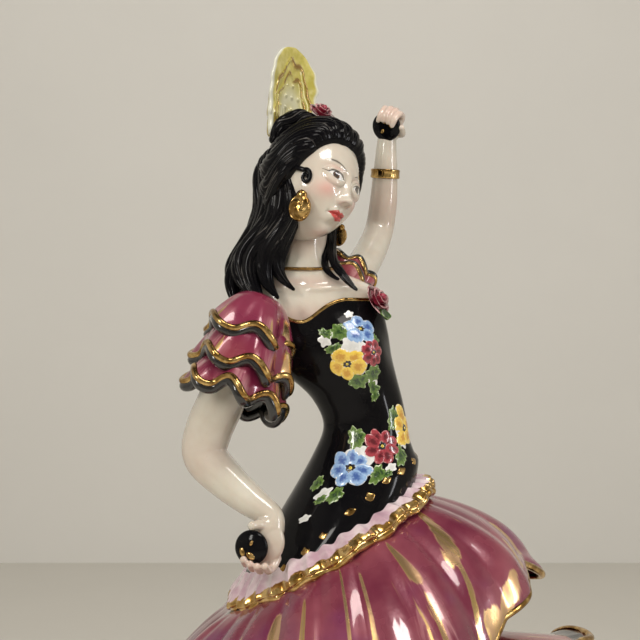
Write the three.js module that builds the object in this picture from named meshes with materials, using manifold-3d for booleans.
// Glazed ceramic figurine of a flamenco dancer, built from the pieces that a pottery casts,
// models by hand and bonds with slip: plinth, hollow skirt, flounces, bodice, bust, head, hair,
// arms, sleeve ruffles, comb, roses, castanets and jewellery.
// Millimetres, +Z up, origin at the middle of the plinth's underside, -Y is the figure's front.

import * as THREE from "three";
import { mergeVertices } from "three/addons/utils/BufferGeometryUtils.js";
import Module from "manifold-3d";

const wasm = await Module();
wasm.setup();

// ---------------------------------------------------------------- driving dimensions

const GAP = 0.4; // bonding gap left between neighbouring pieces
const WALL = 3.2; // cast wall of the hollow pieces
const FRILL_WALL = 1.7; // hand-rolled ruffles

const PLINTH = { halfX: 96, halfY: 88, height: 9, edge: 2.5, vent: 5, ventAt: 45 };
const HIP = { x: -12, y: 0, z: 255, w: 46.5, d: 36.5, tilt: 31 }; // the tilted hip line

// Stations of the hollow body under the skirt, from the hips to the plinth.
const SKIRT_BODY = [
  { x: -14, y: 0, z: 242.2, w: 49, d: 38.5, tilt: 31 },
  { x: -11, y: 0, z: 200, w: 50, d: 42, tilt: 20 },
  { x: -6, y: 0, z: 150, w: 54, d: 50, tilt: 6 },
  { x: -1, y: 0, z: 80, w: 64, d: 59, tilt: 0 },
  { x: 0, y: 0, z: PLINTH.height + GAP, w: 80, d: 74, tilt: 0 },
];

// Skirt tiers. Each springs from the hip line, or from "root", a share of the way down the body,
// and swings out to a hem that lifts at the figure's left side. "reach" is how far the hem stands out
// to -X, to +X and to the front; "folds" is how many, how deep and their phase.
const TIERS = [
  { name: "overskirt", reach: [100, 85, 92], hem: 140, lift: 99, folds: [11, 4.2, 0.6] },
  { name: "upper_flounce", root: 0.28, reach: [102, 108, 98], hem: 106, lift: 104, folds: [12, 3.6, 2.4] },
  { name: "middle_flounce", root: 0.46, reach: [109, 114, 104], hem: 60, lift: 58, folds: [13, 3.8, 0.4] },
  { name: "lower_flounce", root: 0.68, reach: [115, 117, 109], hem: 12, lift: 0, folds: [14, 4, 1.7] },
];
const LIFT = { at: -10, span: 60 };
const TIER_WALL = 2.4;
const FLARE = { flat: 0.5, level: 0.07, drop: 10, tuck: 0, rise: 0.34 }; // bend of the overskirt
const HANG = { flat: 0.45, level: 0.35, drop: 0, tuck: -0.1, rise: 0.25 }; // bend of a flounce
const FRILL = { roll: -6, flare: 13.5, top: 3.6, drop: 11, folds: 17, swing: 1.1 };

const HEAD = { x: -16.5, y: -2, z: 412, halfWidth: 19, front: 20, back: 22, halfHeight: 27 };
const FACING = [0.76, -0.65, -0.04]; // the way the face looks
const HEAD_LEFT = [0.56, 0.72, -0.36]; // towards the figure's left ear
const HAIR_DEPTH = 4.8; // hair over the skull

// Bodice stations from the hips up: centre, half width, half depth and sideways tilt in degrees.
const BODICE = [
  { x: -14, y: 0, z: 243, w: 49, d: 38.5, tilt: 31 },
  { x: -10, y: 0, z: 257, w: 46.5, d: 36, tilt: 31 },
  { x: -3.5, y: 0, z: 271, w: 38, d: 31, tilt: 26 },
  { x: 1.5, y: 0, z: 283, w: 28.5, d: 25.5, tilt: 17 },
  { x: 5, y: 0, z: 294, w: 22, d: 20.5, tilt: 8 },
  { x: 6.5, y: 0, z: 304, w: 19, d: 17.5, tilt: 2 },
  { x: 3, y: 0, z: 315, w: 20.4, d: 18, tilt: 0 },
  { x: -3, y: 0, z: 325, w: 23.8, d: 19, tilt: 0 },
  { x: -8, y: 0, z: 335, w: 26.4, d: 19.5, tilt: 0 },
  { x: -11.5, y: 0, z: 344, w: 28.6, d: 19, tilt: 0 },
  { x: -14.5, y: 0.5, z: 352, w: 30, d: 17.6, tilt: 0 },
  { x: -16.5, y: 1, z: 360, w: 30.5, d: 15.6, tilt: 0 },
];
const NECKLINE = { high: 360.5, dip: 10.5, at: 252, span: 26 };
const BREASTS = [
  { at: 300, span: 26, z: 338, height: 12, out: 6 },
  { at: 203, span: 24, z: 338, height: 12, out: 4.5 },
];

// Chest, shoulders and neck, from inside the bodice up into the head.
const BUST = [
  { x: -13.5, y: 0.5, z: 341, w: 23.5, d: 13.5 },
  { x: -15, y: 0.5, z: 350, w: 26, d: 14 },
  { x: -17, y: 1, z: 358, w: 29.5, d: 13.6 },
  { x: -18, y: 1.5, z: 364, w: 31, d: 12.6 },
  { x: -19, y: 2, z: 369, w: 24, d: 11.6 },
  { x: -20, y: 2.6, z: 374, w: 14.4, d: 10.8 },
  { x: -20.6, y: 3, z: 381, w: 10.5, d: 10.2 },
  { x: -20.4, y: 3, z: 391, w: 9.8, d: 9.8 },
  { x: -19.5, y: 3, z: 402, w: 10.4, d: 10.4 },
];

// Arm centrelines with the radius at each point.
const RIGHT_ARM = [
  [-44, -17, 353, 8.6],
  [-49, -21, 338, 9.6],
  [-56, -21, 318, 10.4],
  [-62.5, -20, 303, 10.4],
  [-64, -20.5, 292, 9.8],
  [-55, -25, 282.5, 8.6],
  [-44, -29.5, 274, 7],
  [-35, -33.5, 268, 5.4],
  [-34, -36, 263, 5.2],
];
const LEFT_ARM = [
  [-1, 13, 366, 8],
  [4, 24, 373, 8.2],
  [11, 40, 385, 7.8],
  [15.5, 49, 396, 7.2],
  [17.5, 48, 409, 6.9],
  [18.4, 46, 424, 6.1],
  [19, 45, 438, 4.9],
  [19.5, 44.4, 442, 4.7],
];
// Sleeve tiers: a ruffle opens from radius "ra" to "rb" over its length along the sleeve's axis.
const RIGHT_SLEEVE = {
  axis: [-0.36, -0.24, -0.9],
  tiers: [
    { at: [-38.5, -19, 360.5], length: 20, ra: 6.5, rb: 19.5, bow: 0.5, folds: [5, 2.6, 2.2] },
    { at: [-41, -20.5, 347], length: 20.5, ra: 14.5, rb: 22, bow: 0.6, folds: [6, 2.8, 0.9] },
    { at: [-44.5, -22.3, 335], length: 19, ra: 14.5, rb: 22.5, bow: 0.75, folds: [7, 3, 3.6] },
  ],
};
const LEFT_SLEEVE = {
  axis: [0.52, 0.5, 0.69],
  tiers: [
    { at: [-9.5, 9, 361.5], length: 12, ra: 10.4, rb: 15.6, bow: 0.6, folds: [5, 1.8, 0.5] },
    { at: [-5, 13.5, 366.5], length: 10.5, ra: 10, rb: 13.4, bow: 0.7, folds: [6, 1.6, 2] },
  ],
};

// Hands: the palm's middle, the way it faces, the way its fingers point, its size, how many of the
// five finger points it uses, its thumb, and where it holds the castanets. Finger and thumb points
// are [out, reach, across]; the hold is [reach, across].
const FINGER = [[-1, 5], [1.2, 9.1], [5, 10], [9.6, 7.9], [11, 4.1]];
const RIGHT_HAND = {
  palm: [-36.2, -38, 257.5],
  out: [-0.3, -0.94, 0.08],
  fingers: [-0.2, 0.1, -1],
  size: 1.08,
  joints: 4,
  thumb: [[-0.5, -5, -3], [3.5, -7.6, -6.5], [8, -8, -9.5]],
  hold: [2.2, -3.6],
};
const LEFT_HAND = {
  palm: [21, 45, 447.5],
  out: [-0.4, -0.85, -0.3],
  fingers: [0.35, -0.2, 0.92],
  size: 0.88,
  joints: 5,
  thumb: [[-0.5, -3.5, -5.4], [2.4, -1.5, -8.6], [6.5, 2.6, -8.4]],
  hold: [0.4, 0],
};
const CASTANET = { radius: 7.2, deep: 2.6, wall: 1.2 };
const EARRINGS = [
  { name: "earring_right", at: [-22.7, -24, 399.5], out: [-0.3, -0.9, 0.1], size: 1 },
  { name: "earring_left", at: [-5, 8.5, 389.5], out: [0.5, 0.75, -0.2], size: 0.75 },
];
const ROSES = [
  { name: "hair_rose", at: [-13, 8, 447], facing: [0.45, -0.5, 0.75], size: 6.4 },
  { name: "shoulder_rose", at: [12, -10, 360], facing: [0.75, -0.5, 0.45], size: 7.4 },
];

const COMB = { at: [-31.5, 18, 436], face: [0.8, -0.6, 0.08], width: 27, height: 44, thick: 6, curve: 34 };
const BRACELET = { at: [18.4, 46.1, 423.6], axis: [0.05, -0.13, 1], inner: 6.3, wall: 1.1, height: 4.6 };
const SIDES = 18; // points round a bodice section

// ---------------------------------------------------------------- small tools

const TAU = Math.PI * 2;
const vec = (x, y, z) => new THREE.Vector3(x, y, z);
const rad = THREE.MathUtils.degToRad;
const bell = (x, span) => Math.exp(-((x / span) ** 2));
const turnBetween = (a, b) => THREE.MathUtils.euclideanModulo(a - b + 180, 360) - 180;

// A Catmull-Rom value at t (0 to 1) along a list of records, field by field.
function along(list, t) {
  const s = THREE.MathUtils.clamp(t, 0, 1) * (list.length - 1);
  const k = Math.min(Math.floor(s), list.length - 2);
  const f = s - k;
  const pick = (i) => list[THREE.MathUtils.clamp(i, 0, list.length - 1)];
  const made = {};
  for (const key of Object.keys(list[0])) {
    const [p, q, r, u] = [pick(k - 1)[key], pick(k)[key], pick(k + 1)[key], pick(k + 2)[key]];
    const a = 2 * q;
    const b = r - p;
    const c = 2 * p - 5 * q + 4 * r - u;
    const d = -p + 3 * q - 3 * r + u;
    made[key] = 0.5 * (a + b * f + c * f * f + d * f * f * f);
  }
  return made;
}

// Two axes square to a direction; the first lies as near to "near" as it can.
function squareAxes(direction, near = vec(1, 0, 0)) {
  const n = direction.clone().normalize();
  const a = near.clone().addScaledVector(n, -near.dot(n)).normalize();
  return [a, n.clone().cross(a), n];
}

// A closed solid from points and triangles, turned so that its faces point out.
function closed(points, faces) {
  let volume = 0;
  for (let i = 0; i < faces.length; i += 3) {
    volume += points[faces[i]].dot(points[faces[i + 1]].clone().cross(points[faces[i + 2]]));
  }
  if (volume < 0) faces.reverse();
  return new wasm.Manifold(
    new wasm.Mesh({
      numProp: 3,
      vertProperties: new Float32Array(points.flatMap((p) => [p.x, p.y, p.z])),
      triVerts: new Uint32Array(faces),
    }),
  );
}

// Rings of points joined in order. Wrapped, the last ring joins the first, which makes a shell;
// otherwise the two ends are capped.
function joinRings(rings, wrapped) {
  const n = rings[0].length;
  const points = rings.flat();
  const faces = [];
  const last = wrapped ? rings.length : rings.length - 1;
  for (let k = 0; k < last; k++) {
    const next = (k + 1) % rings.length;
    for (let i = 0; i < n; i++) {
      const j = (i + 1) % n;
      const [a, b, c, d] = [k * n + i, k * n + j, next * n + j, next * n + i];
      faces.push(a, b, c, a, c, d);
    }
  }
  if (!wrapped) {
    for (const [k, flip] of [[0, true], [rings.length - 1, false]]) {
      const centre = rings[k].reduce((s, p) => s.add(p), vec(0, 0, 0)).divideScalar(n);
      points.push(centre);
      for (let i = 0; i < n; i++) {
        const [a, b] = [k * n + i, k * n + ((i + 1) % n)];
        faces.push(...(flip ? [b, a, points.length - 1] : [a, b, points.length - 1]));
      }
    }
  }
  return closed(points, faces);
}

const loft = (rings) => joinRings(rings, false);

// A shell between an outer and an inner surface, each a function of (angle, share of the way down).
function shell(outer, inner, sides, steps) {
  const ring = (surface, t) =>
    Array.from({ length: sides }, (_, i) => surface((i / sides) * TAU, t));
  const shares = Array.from({ length: steps + 1 }, (_, k) => k / steps);
  const out = shares.map((t) => ring(outer, t));
  const back = shares.toReversed().map((t) => ring(inner, t));
  return joinRings([...out, ...back], true);
}

// A round limb along [x, y, z, radius] points, with rounded ends.
function limb(stations, grow = 0, sides = 9, steps = 9) {
  const list = stations.map(([x, y, z, r]) => ({ x, y, z, r }));
  const at = (t) => along(list, t);
  const rings = [];
  const [first] = squareAxes(direction(at, 0));
  let near = first;
  const shares = Array.from({ length: steps + 1 }, (_, k) => k / steps);
  for (const t of shares) {
    const p = at(t);
    const [a, b, n] = squareAxes(direction(at, t), near);
    near = a;
    const cap = t === 0 ? -1 : t === 1 ? 1 : 0;
    const makeRing = (share, push) =>
      Array.from({ length: sides }, (_, i) => {
        const angle = (i / sides) * TAU;
        const r = (p.r + grow) * share;
        return vec(p.x, p.y, p.z)
          .addScaledVector(a, r * Math.cos(angle))
          .addScaledVector(b, r * Math.sin(angle))
          .addScaledVector(n, push * (p.r + grow));
      });
    if (cap === -1) rings.push(makeRing(0.5, -0.6), makeRing(0.86, -0.35));
    rings.push(makeRing(1, 0));
    if (cap === 1) rings.push(makeRing(0.86, 0.35), makeRing(0.5, 0.6));
  }
  return loft(rings);
}

function direction(at, t) {
  const [p, q] = [at(t - 0.02), at(t + 0.02)];
  return vec(q.x - p.x, q.y - p.y, q.z - p.z);
}

// A plain geometry as a solid, after a matrix.
function solidOf(geometry, matrix = new THREE.Matrix4()) {
  const bare = geometry.clone().applyMatrix4(matrix);
  bare.deleteAttribute("normal");
  bare.deleteAttribute("uv");
  const merged = mergeVertices(bare, 1e-4);
  const place = merged.attributes.position;
  const points = Array.from({ length: place.count }, (_, i) => vec().fromBufferAttribute(place, i));
  return closed(points, Array.from(merged.index.array));
}

// A matrix with given directions for x, y and z, scaled, at a point.
function placed(x, y, z, at, scale = vec(1, 1, 1)) {
  return new THREE.Matrix4()
    .makeBasis(x, y, z)
    .scale(scale)
    .setPosition(at);
}

const ball = (matrix, wide = 14, high = 9) => solidOf(new THREE.SphereGeometry(1, wide, high), matrix);

// The largest body that is left after cutting.
function cut(solid, ...cutters) {
  const left = cutters.reduce((s, c) => s.subtract(c), solid);
  const bodies = left.decompose();
  return bodies.reduce((a, b) => (b.volume() > a.volume() ? b : a));
}

function mesh(name, solid, material) {
  const made = solid.getMesh();
  const geometry = new THREE.BufferGeometry();
  geometry.setAttribute("position", new THREE.BufferAttribute(new Float32Array(made.vertProperties), 3));
  geometry.setIndex(new THREE.BufferAttribute(new Uint32Array(made.triVerts), 1));
  geometry.computeVertexNormals();
  const object = new THREE.Mesh(geometry, material);
  object.name = name;
  return object;
}

// ---------------------------------------------------------------- materials

const glaze = (color, roughness = 0.12, metalness = 0) =>
  new THREE.MeshStandardMaterial({ color, roughness, metalness });
const MATERIAL = {
  skin: glaze(0xe6dccf),
  black: glaze(0x0b0b0d, 0.08),
  rose: glaze(0x9c3f57, 0.15, 0.2),
  frill: glaze(0xd9b7c0, 0.15),
  gold: glaze(0xb98a2c, 0.15, 1),
  comb: glaze(0xcfc873),
  flower: glaze(0x8e2433),
};

// ---------------------------------------------------------------- plinth and skirt

function plinth() {
  const { height, edge, halfX, halfY, vent, ventAt } = PLINTH;
  const rings = [
    [0, -edge],
    [edge, 0],
    [height - edge, 0],
    [height, -edge],
  ].map(([z, inset]) =>
    Array.from({ length: 40 }, (_, i) => {
      const a = (i / 40) * TAU;
      return vec((halfX + inset) * Math.cos(a), (halfY + inset) * Math.sin(a), z);
    }),
  );
  const hole = solidOf(
    new THREE.CylinderGeometry(vent, vent, height * 3, 16),
    new THREE.Matrix4().makeRotationX(Math.PI / 2).setPosition(0, ventAt, 0),
  );
  return cut(loft(rings), hole);
}

// A point on a tilted elliptical section, widened by "grow".
function sectionPoint(s, angle, grow = 0) {
  const tilt = rad(s.tilt ?? 0);
  const w = s.w + grow;
  return vec(
    s.x + w * Math.cos(tilt) * Math.cos(angle),
    s.y + (s.d + grow) * Math.sin(angle),
    s.z + w * Math.sin(tilt) * Math.cos(angle),
  );
}

// The hollow body that the skirt tiers are bonded to.
function skirtBody() {
  const surface = (inset) => (angle, t) => sectionPoint(along(SKIRT_BODY, t), angle, -inset);
  return shell(surface(0), surface(WALL), 26, 5);
}

const foldWave = (angle, folds, phase) =>
  0.65 * Math.sin(folds * angle + 0.8 * Math.sin(2 * angle) + phase) +
  0.35 * Math.sin((folds - 4) * angle + 1.3 + phase);

// Each meridian of a tier is a cubic curve from the body to the hem, with folds that grow downwards.
// The overskirt springs from the hip line and bells out; a flounce hangs closer to the body.
function tierPoint(tier, angle, t, inset) {
  const [c, s] = [Math.cos(angle), Math.sin(angle)];
  const springs = tier.root === undefined;
  const bend = springs ? FLARE : HANG;
  const root = springs ? { ...HIP, z: HIP.z - 8.5 } : along(SKIRT_BODY, tier.root);
  const top = sectionPoint(root, angle, 1.2 + TIER_WALL - inset);
  const [west, east, depth] = tier.reach;
  const reach = (c > 0 ? east : west) - inset;
  const lift = tier.lift * bell(turnBetween((angle * 180) / Math.PI, LIFT.at), LIFT.span);
  const hem = vec(HIP.x / 2 + reach * c, (depth - inset) * s, tier.hem + lift);
  const out = hem.clone().sub(top).setZ(0);
  const fall = top.z - hem.z;
  const q1 = top.clone().addScaledVector(out, bend.flat);
  q1.z -= bend.level * fall + bend.drop;
  const q2 = hem.clone().addScaledVector(out, bend.tuck);
  q2.z += bend.rise * fall;
  const u = 1 - t;
  const [folds, deep, phase] = tier.folds;
  const swing = deep * t ** 1.1 * foldWave(angle, folds, phase);
  return top
    .multiplyScalar(u ** 3)
    .addScaledVector(q1, 3 * u * u * t)
    .addScaledVector(q2, 3 * u * t * t)
    .addScaledVector(hem, t ** 3)
    .add(vec(swing * c, swing * s, 0));
}

const skirtTier = (tier, grow = 0) =>
  shell(
    (angle, t) => tierPoint(tier, angle, t, -grow),
    (angle, t) => tierPoint(tier, angle, t, TIER_WALL + grow),
    tier.folds[0] * 3,
    4,
  );

// The gathered frill is a narrow band that rolls outwards along the hip line.
function frillSurface(inset) {
  const tilt = rad(HIP.tilt);
  const across = vec(Math.cos(tilt), 0, Math.sin(tilt));
  const up = vec(-Math.sin(tilt), 0, Math.cos(tilt));
  return (angle, t) => {
    const wave = FRILL.swing * t * foldWave(angle, FRILL.folds, 0.3);
    const out = FRILL.roll + FRILL.flare * Math.sin(t * 1.75) + wave - inset;
    const rise = FRILL.top - FRILL.drop * t - 0.6 * (1 - t) * inset;
    return vec(HIP.x, HIP.y, HIP.z)
      .addScaledVector(across, (HIP.w + out) * Math.cos(angle))
      .add(vec(0, (HIP.d + out) * Math.sin(angle), 0))
      .addScaledVector(up, rise + 0.8 * t * Math.sin(13 * angle));
  };
}

const frill = () => shell(frillSurface(0), frillSurface(FRILL_WALL), 36, 2);

// ---------------------------------------------------------------- bodice and bust

function bodicePoint(s, angle, grow) {
  const degrees = (angle * 180) / Math.PI;
  const bust = BREASTS.reduce(
    (sum, b) => sum + b.out * bell(turnBetween(degrees, b.at), b.span) * bell(s.z - b.z, b.height),
    0,
  );
  return sectionPoint(s, angle, grow + bust);
}

function solidStack(stations, point, sides, steps) {
  return loft(
    Array.from({ length: steps + 1 }, (_, k) => {
      const s = along(stations, k / steps);
      return Array.from({ length: sides }, (_, i) => point(s, (i / sides) * TAU));
    }),
  );
}

const bodiceFilled = (grow) =>
  solidStack(BODICE, (s, a) => bodicePoint(s, a, grow), SIDES, 10);

// Everything above the neckline, whose front dips in a sweetheart curve.
function aboveNeckline() {
  const height = (angle) =>
    NECKLINE.high - NECKLINE.dip * bell(turnBetween((angle * 180) / Math.PI, NECKLINE.at), NECKLINE.span);
  const middle = BODICE[BODICE.length - 1];
  const rim = (r, lift) =>
    Array.from({ length: 24 }, (_, i) => {
      const a = (i / 24) * TAU;
      return vec(middle.x + r * Math.cos(a), middle.y + r * 0.6 * Math.sin(a), height(a) + lift);
    });
  return loft([rim(4, 0), rim(80, 0), rim(80, 60), rim(4, 60)]);
}

function bodice() {
  const hollow = bodiceFilled(-WALL).translate([0, 0, -GAP]);
  return cut(bodiceFilled(0), hollow, aboveNeckline(), bustFilled(GAP));
}

const bustFilled = (grow) => solidStack(BUST, (s, a) => sectionPoint(s, a, grow), 16, 10);

// ---------------------------------------------------------------- head, hair and comb

const facing = vec(...FACING).normalize();
const [headLeft] = squareAxes(facing, vec(...HEAD_LEFT));
const crown = facing.clone().cross(headLeft);
const headCentre = vec(HEAD.x, HEAD.y, HEAD.z);

// A point of the head's frame: left, forward and up from its centre.
const inHead = (left, forward, up) =>
  headCentre.clone()
    .addScaledVector(headLeft, left)
    .addScaledVector(facing, forward)
    .addScaledVector(crown, up);

// The skull and face: an egg that narrows to the chin, with a nose.
function headPoint(across, upward, grow) {
  const [l, f] = [Math.sin(across) * Math.cos(upward), Math.cos(across) * Math.cos(upward)];
  const u = Math.sin(upward);
  const jaw = u < 0 ? 1 - 0.3 * u * u : 1;
  const nape = u < 0 && f < 0 ? 1 - 0.34 * Math.sqrt(-u) * -f : 1;
  const nose = f > 0 ? 3.6 * bell(l, 0.13) * bell(u + 0.16, 0.17) : 0;
  const depth = f > 0 ? HEAD.front : HEAD.back;
  const chin = u < 0 && f > 0 ? 5 * f * u * u : 0;
  return inHead(
    (HEAD.halfWidth * jaw + grow) * l,
    (depth + grow) * f * nape + nose + chin,
    (HEAD.halfHeight + grow) * u,
  );
}

function egg(point, sides, steps) {
  const rings = Array.from({ length: steps - 1 }, (_, k) => {
    const upward = -Math.PI / 2 + ((k + 1) / steps) * Math.PI;
    return Array.from({ length: sides }, (_, i) => point((i / sides) * TAU, upward));
  });
  return loft(rings);
}

const headFilled = (grow, sides = 16, steps = 12) =>
  egg((a, u) => headPoint(a, u, grow), sides, steps);

// The hair cap is a thick skin over the skull, cut back to the hairline round the face and jaw.
function hairCap(grow) {
  const opening = (centre, radii) =>
    ball(placed(headLeft, facing, crown, centre, radii.subScalar(grow)), 12, 7);
  const face = opening(inHead(0, 25, -9), vec(29, 22.5, 26.5));
  const jaw = opening(inHead(0, 11, -28), vec(28, 24, 16));
  const outer = headFilled(HAIR_DEPTH + grow, 14, 10);
  return cut(outer, headFilled(GAP - grow), face, jaw, bustFilled(GAP - grow));
}

// Long hair falls in tapering masses; each is a limb flattened against the shoulder.
const HAIR = {
  hair_fall_back: [
    [-34, 11, 416, 8],
    [-37, 15, 399, 12],
    [-35, 18, 380, 13.5],
    [-30, 21.5, 360, 11.5],
    [-26, 22, 343, 7],
    [-24, 21.5, 333, 2.5],
  ],
  hair_fall_right: [
    [-35, -6, 414, 7],
    [-39.5, -7, 402, 8.8],
    [-44, -8, 389, 9.4],
    [-47.5, -9.5, 377, 8],
    [-49, -11.5, 367, 4.8],
    [-49, -13, 359.5, 1.6],
  ],
  hair_lock_right: [
    [-29, -18, 403, 3.2],
    [-33.5, -17.5, 392, 5],
    [-35, -16.5, 380, 4.8],
    [-33, -16, 370, 3.2],
    [-30.5, -16.5, 363, 1.3],
  ],
  hair_lock_left: [
    [-7, 8, 392, 3.4],
    [-9, 1, 383, 3],
    [-8, -8, 377, 2.6],
    [-3, -13.5, 370.5, 2.3],
    [2, -16, 364.5, 1],
  ],
  hair_roll: [
    [-36, 4, 434, 3.2],
    [-31.5, 5, 440.5, 5.2],
    [-24, 6, 444, 5.4],
    [-15, 6.5, 443, 3],
  ],
};

// The kiss curl is a spiral that lies on the cheek in front of the ear.
function kissCurl() {
  const turns = 1.35;
  const points = Array.from({ length: 12 }, (_, i) => {
    const share = i / 11;
    const angle = rad(200) - share * turns * TAU;
    const r = rad(13) * (1 - 0.78 * share);
    const p = headPoint(rad(-62) + r * Math.cos(angle), rad(-9) + r * Math.sin(angle), 1.5);
    return [...p.toArray(), 1.5 * (1 - 0.35 * share)];
  });
  return limb(points, 0, 5, 11);
}

const COMB_AXES = (() => {
  const face = vec(...COMB.face).normalize();
  const [up] = squareAxes(face, vec(0, 0.12, 1));
  return { face, up, across: up.clone().cross(face) };
})();

// A tall comb bent round the back of the head, with an ogee top.
function comb(grow = 0) {
  const { width, height, thick, curve } = COMB;
  const { face, up, across } = COMB_AXES;
  const halfAt = (t) => 0.5 * width * (0.84 + 0.4 * Math.sin(t * 2.3)) * Math.sqrt(1 - t ** 3.4) + 0.4;
  const rows = 10;
  const columns = 6;
  const place = (t, s, side) => {
    const x = s * (halfAt(t) + grow);
    const bend = (x * x) / curve + 3.5 * t * t;
    const edge = thick * (1 - 0.35 * s * s) * (1 - 0.45 * t) + 2 * grow;
    return vec(...COMB.at)
      .addScaledVector(across, x)
      .addScaledVector(up, t * height)
      .addScaledVector(face, bend * 0.55 + side * edge * 0.5);
  };
  const rings = Array.from({ length: rows + 1 }, (_, k) => {
    const t = (k / rows) * 0.995;
    const steps = Array.from({ length: columns + 1 }, (_, i) => -1 + (2 * i) / columns);
    return [
      ...steps.map((s) => place(t, s, 1)),
      ...steps.toReversed().map((s) => place(t, s, -1)),
    ];
  });
  return loft(rings);
}

// ---------------------------------------------------------------- sleeves

// A ruffled ring round the arm; grown, it is the room that the ring takes up.
function sleeveTier(sleeve, tier, sides, grow = 0) {
  const [a, b, n] = squareAxes(vec(...sleeve.axis), vec(1, 0, 0));
  const [folds, deep, phase] = tier.folds;
  const surface = (inset) => (angle, t) => {
    const turn = folds * angle + phase;
    const wave = 0.55 * deep * t * t * Math.sin(turn + 0.7 * Math.sin(angle));
    const r = tier.ra + (tier.rb - tier.ra) * t ** tier.bow + wave - inset;
    const tuck = 0.8 * Math.max(inset, 0) * (1 - t);
    const slide = (tier.length + grow) * t + deep * t * t * Math.cos(turn) + tuck;
    return vec(...tier.at)
      .addScaledVector(a, r * Math.cos(angle))
      .addScaledVector(b, r * Math.sin(angle))
      .addScaledVector(n, slide);
  };
  return shell(surface(-grow), surface(FRILL_WALL + grow), sides, 2);
}

// ---------------------------------------------------------------- hands, castanets, jewellery

// A hand's frame: out of the palm, along the hand to the fingers, and across to the little finger.
function handFrame(h) {
  const out = vec(...h.out).normalize();
  const [reach, across] = squareAxes(out, vec(...h.fingers));
  return { out, reach, across };
}

function handPoint(h, out, reach, across) {
  const f = handFrame(h);
  return vec(...h.palm)
    .addScaledVector(f.out, out * h.size)
    .addScaledVector(f.reach, reach * h.size)
    .addScaledVector(f.across, across * h.size);
}

// A cupped palm with four fingers that curl over what it holds, and a thumb.
function hand(h) {
  const f = handFrame(h);
  const half = vec(8.4, 7.2, 3.6).multiplyScalar(h.size);
  const palm = ball(placed(f.reach, f.across, f.out, vec(...h.palm), half), 10, 6);
  const digit = (points, radius) => {
    const thick = (i) => h.size * radius * (1 - 0.07 * i);
    return limb(points.map((p, i) => [...handPoint(h, ...p).toArray(), thick(i)]), 0, 5, 3);
  };
  const fingers = [-1.5, -0.5, 0.5, 1.5].map((k) => {
    const shorter = (i) => 0.45 * k * k * Math.min(i, 1);
    const rows = FINGER.slice(0, h.joints);
    return digit(rows.map(([out, reach], i) => [out, reach - shorter(i), k * (3.3 - 0.12 * i)]), 1.95);
  });
  return [...fingers, digit(h.thumb, 2.1)].reduce((s, d) => s.add(d), palm);
}

const castanetCentre = (h) => handPoint(h, 3.6 + (CASTANET.deep + GAP) / h.size, ...h.hold);

// The space that a pair of castanet leaves takes up in a hand.
function castanetRoom(h) {
  const f = handFrame(h);
  const [r, deep] = [CASTANET.radius + GAP, CASTANET.deep + 2 * GAP];
  return ball(placed(f.reach, f.across, f.out, castanetCentre(h), vec(r, r, deep)), 14, 7);
}

// One leaf of a castanet is a shallow cup with a flat rim; the two leaves face each other.
function castanetLeaf(h, side) {
  const { radius, deep, wall } = CASTANET;
  const arc = Array.from({ length: 4 }, (_, i) => (i / 3) * (Math.PI / 2));
  const bow = (r, d) => (a) => new THREE.Vector2(r * Math.sin(a), d * Math.cos(a));
  const outline = [...arc.map(bow(radius, deep)), ...arc.toReversed().map(bow(radius - wall, deep - wall))];
  const f = handFrame(h);
  const out = f.out.clone().multiplyScalar(side);
  const at = castanetCentre(h).addScaledVector(out, GAP / 2);
  const reach = f.reach.clone();
  return solidOf(new THREE.LatheGeometry(outline, 14), placed(reach, out, reach.clone().cross(out), at));
}

function ring({ at, axis, inner, wall, height }) {
  const outline = [
    [inner, -height / 2],
    [inner + wall, -height / 2 + wall * 0.4],
    [inner + wall, height / 2 - wall * 0.4],
    [inner, height / 2],
    [inner, -height / 2],
  ].map(([x, y]) => new THREE.Vector2(x, y));
  const [a, b, n] = squareAxes(vec(...axis));
  return solidOf(new THREE.LatheGeometry(outline, 16), placed(a, n, b.negate(), vec(...at)));
}

// A rose is a tight bud in the middle of two rounds of cupped petals.
function rose({ at, facing: way, size }) {
  const [a, b, n] = squareAxes(vec(...way));
  const centre = vec(...at);
  const scaled = (x, y, z) => vec(x, y, z).multiplyScalar(size);
  const petals = [];
  for (const [count, reach, lift, turn] of [[5, 0.62, 0, 0], [3, 0.34, 0.34, 0.6]]) {
    for (let i = 0; i < count; i++) {
      const angle = (i / count) * TAU + turn;
      const out = a.clone().multiplyScalar(Math.cos(angle)).addScaledVector(b, Math.sin(angle));
      const place = centre.clone().addScaledVector(out, reach * size).addScaledVector(n, lift * size);
      const lean = n.clone().addScaledVector(out, 0.7).normalize();
      const [x, y] = squareAxes(lean, out);
      petals.push(ball(placed(x, y, lean, place, scaled(0.5, 0.56, 0.2)), 5, 3));
    }
  }
  const heart = centre.clone().addScaledVector(n, 0.3 * size);
  const bud = ball(placed(a, b, n, heart, scaled(0.42, 0.42, 0.55)), 7, 4);
  return petals.reduce((s, p) => s.add(p), bud);
}

// A domed drop with a stud above it.
function earring({ at, out: outward, size }, grow = 0) {
  const out = vec(...outward).normalize();
  const [up, side] = squareAxes(out, vec(0.1, 0, 1));
  const centre = vec(...at);
  const scaled = (x, y, z) => vec(x, y, z).multiplyScalar(size).addScalar(grow);
  const disc = ball(placed(side, up, out, centre, scaled(5, 6, 2.4)), 12, 6);
  const stud = centre.clone().addScaledVector(up, 5.6 * size).addScaledVector(out, -0.4 * size);
  return disc.add(ball(placed(side, up, out, stud, scaled(2.8, 2.6, 2)), 8, 5));
}

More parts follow.
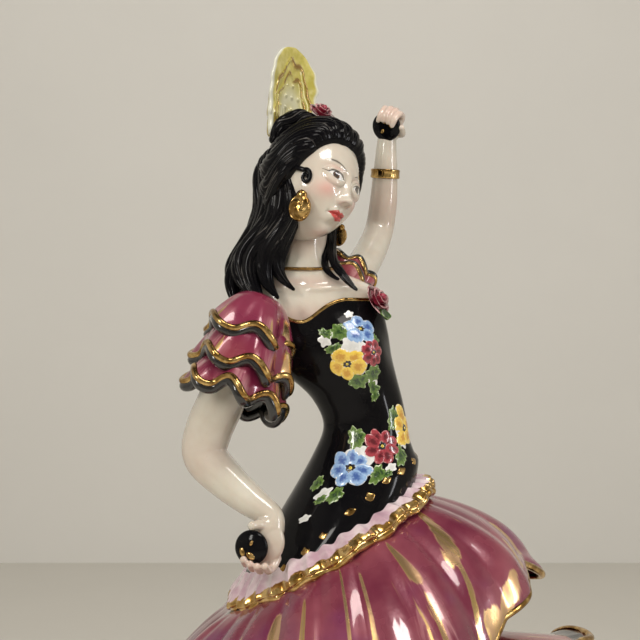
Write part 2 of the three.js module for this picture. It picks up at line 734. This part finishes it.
// The necklace lies on the slope where the neck meets the chest.
function necklace(grow) {
  const at = along(BUST, 0.635);
  const beads = 20;
  const thick = 0.7 + grow;
  const rings = Array.from({ length: beads }, (_, i) => {
    const angle = (i / beads) * TAU;
    const drop = -1.2 * Math.max(0, -Math.sin(angle));
    const [w, d] = [at.w + 1.6, at.d + 1.6];
    const centre = vec(at.x + w * Math.cos(angle), at.y + d * Math.sin(angle), at.z + 0.6 + drop);
    const out = vec(Math.cos(angle), Math.sin(angle), 0);
    return Array.from({ length: 5 }, (_, k) => {
      const turn = (k / 5) * TAU;
      const lift = vec(0, 0, thick * Math.sin(turn));
      return centre.clone().addScaledVector(out, thick * Math.cos(turn)).add(lift);
    });
  });
  return joinRings(rings, true);
}

// ---------------------------------------------------------------- assembly

const group = new THREE.Group();
const add = (name, solid, material) => {
  group.add(mesh(name, solid, material));
  return solid;
};

const bodiceCutter = bodiceFilled(GAP);
const bustCutter = bustFilled(GAP);
const headCutter = headFilled(GAP);

// Skirt
add("plinth", plinth(), MATERIAL.black);
add("skirt_body", skirtBody(), MATERIAL.black);
for (const tier of TIERS) {
  add(tier.name, cut(skirtTier(tier), bodiceCutter), MATERIAL.rose);
}
add("hip_frill", cut(frill(), bodiceCutter, skirtTier(TIERS[0], GAP)), MATERIAL.frill);

// Bodice, bust and head
add("bodice", bodice(), MATERIAL.black);
add("bust", cut(bustFilled(0), headCutter), MATERIAL.skin);
add("necklace", cut(necklace(0), bustCutter), MATERIAL.gold);
add("head", headFilled(0), MATERIAL.skin);

// Arms with their hands, and the castanets that the hands hold
const arms = {
  right: { stations: RIGHT_ARM, hand: RIGHT_HAND },
  left: { stations: LEFT_ARM, hand: LEFT_HAND },
};
for (const [side, a] of Object.entries(arms)) {
  a.cutter = limb(a.stations, GAP);
  const whole = limb(a.stations).add(hand(a.hand));
  add(`arm_${side}`, cut(whole, castanetRoom(a.hand), bodiceCutter, bustCutter), MATERIAL.skin);
  add(`castanet_${side}_outer`, castanetLeaf(a.hand, 1), MATERIAL.black);
  add(`castanet_${side}_inner`, castanetLeaf(a.hand, -1), MATERIAL.black);
}
add("bracelet", cut(ring(BRACELET), arms.left.cutter), MATERIAL.gold);

// Hair on the head, comb and earrings
const capCutter = hairCap(GAP);
add("hair_cap", hairCap(0), MATERIAL.black);
add("kiss_curl", cut(kissCurl(), headCutter, capCutter), MATERIAL.black);
add("comb", cut(comb(), capCutter), MATERIAL.comb);
for (const e of EARRINGS) {
  add(e.name, cut(earring(e), headCutter, capCutter), MATERIAL.gold);
}

// Sleeves: each tier tucks under the one above it
const sleeveCutters = [];
const sleeves = [
  ["right", RIGHT_SLEEVE, 18],
  ["left", LEFT_SLEEVE, 15],
];
for (const [side, sleeve, sides] of sleeves) {
  sleeve.tiers.forEach((tier, i) => {
    const cutters = [bodiceCutter, bustCutter, arms[side].cutter, necklace(GAP), ...sleeveCutters];
    add(`sleeve_${side}_tier_${i + 1}`, cut(sleeveTier(sleeve, tier, sides), ...cutters), MATERIAL.rose);
    sleeveCutters.push(sleeveTier(sleeve, tier, sides, GAP));
  });
}

// Hanging hair: each mass is cut by what it lies against
const against = [headCutter, capCutter, bustCutter, bodiceCutter, arms.left.cutter, arms.right.cutter];
against.push(necklace(GAP), ...EARRINGS.map((e) => earring(e, GAP)), comb(GAP), ...sleeveCutters);
for (const [name, stations] of Object.entries(HAIR)) {
  add(name, cut(limb(stations, 0, 8, 7), ...against), MATERIAL.black);
  against.push(limb(stations, GAP, 8, 7));
}
for (const r of ROSES) add(r.name, cut(rose(r), ...against), MATERIAL.flower);

export default group;
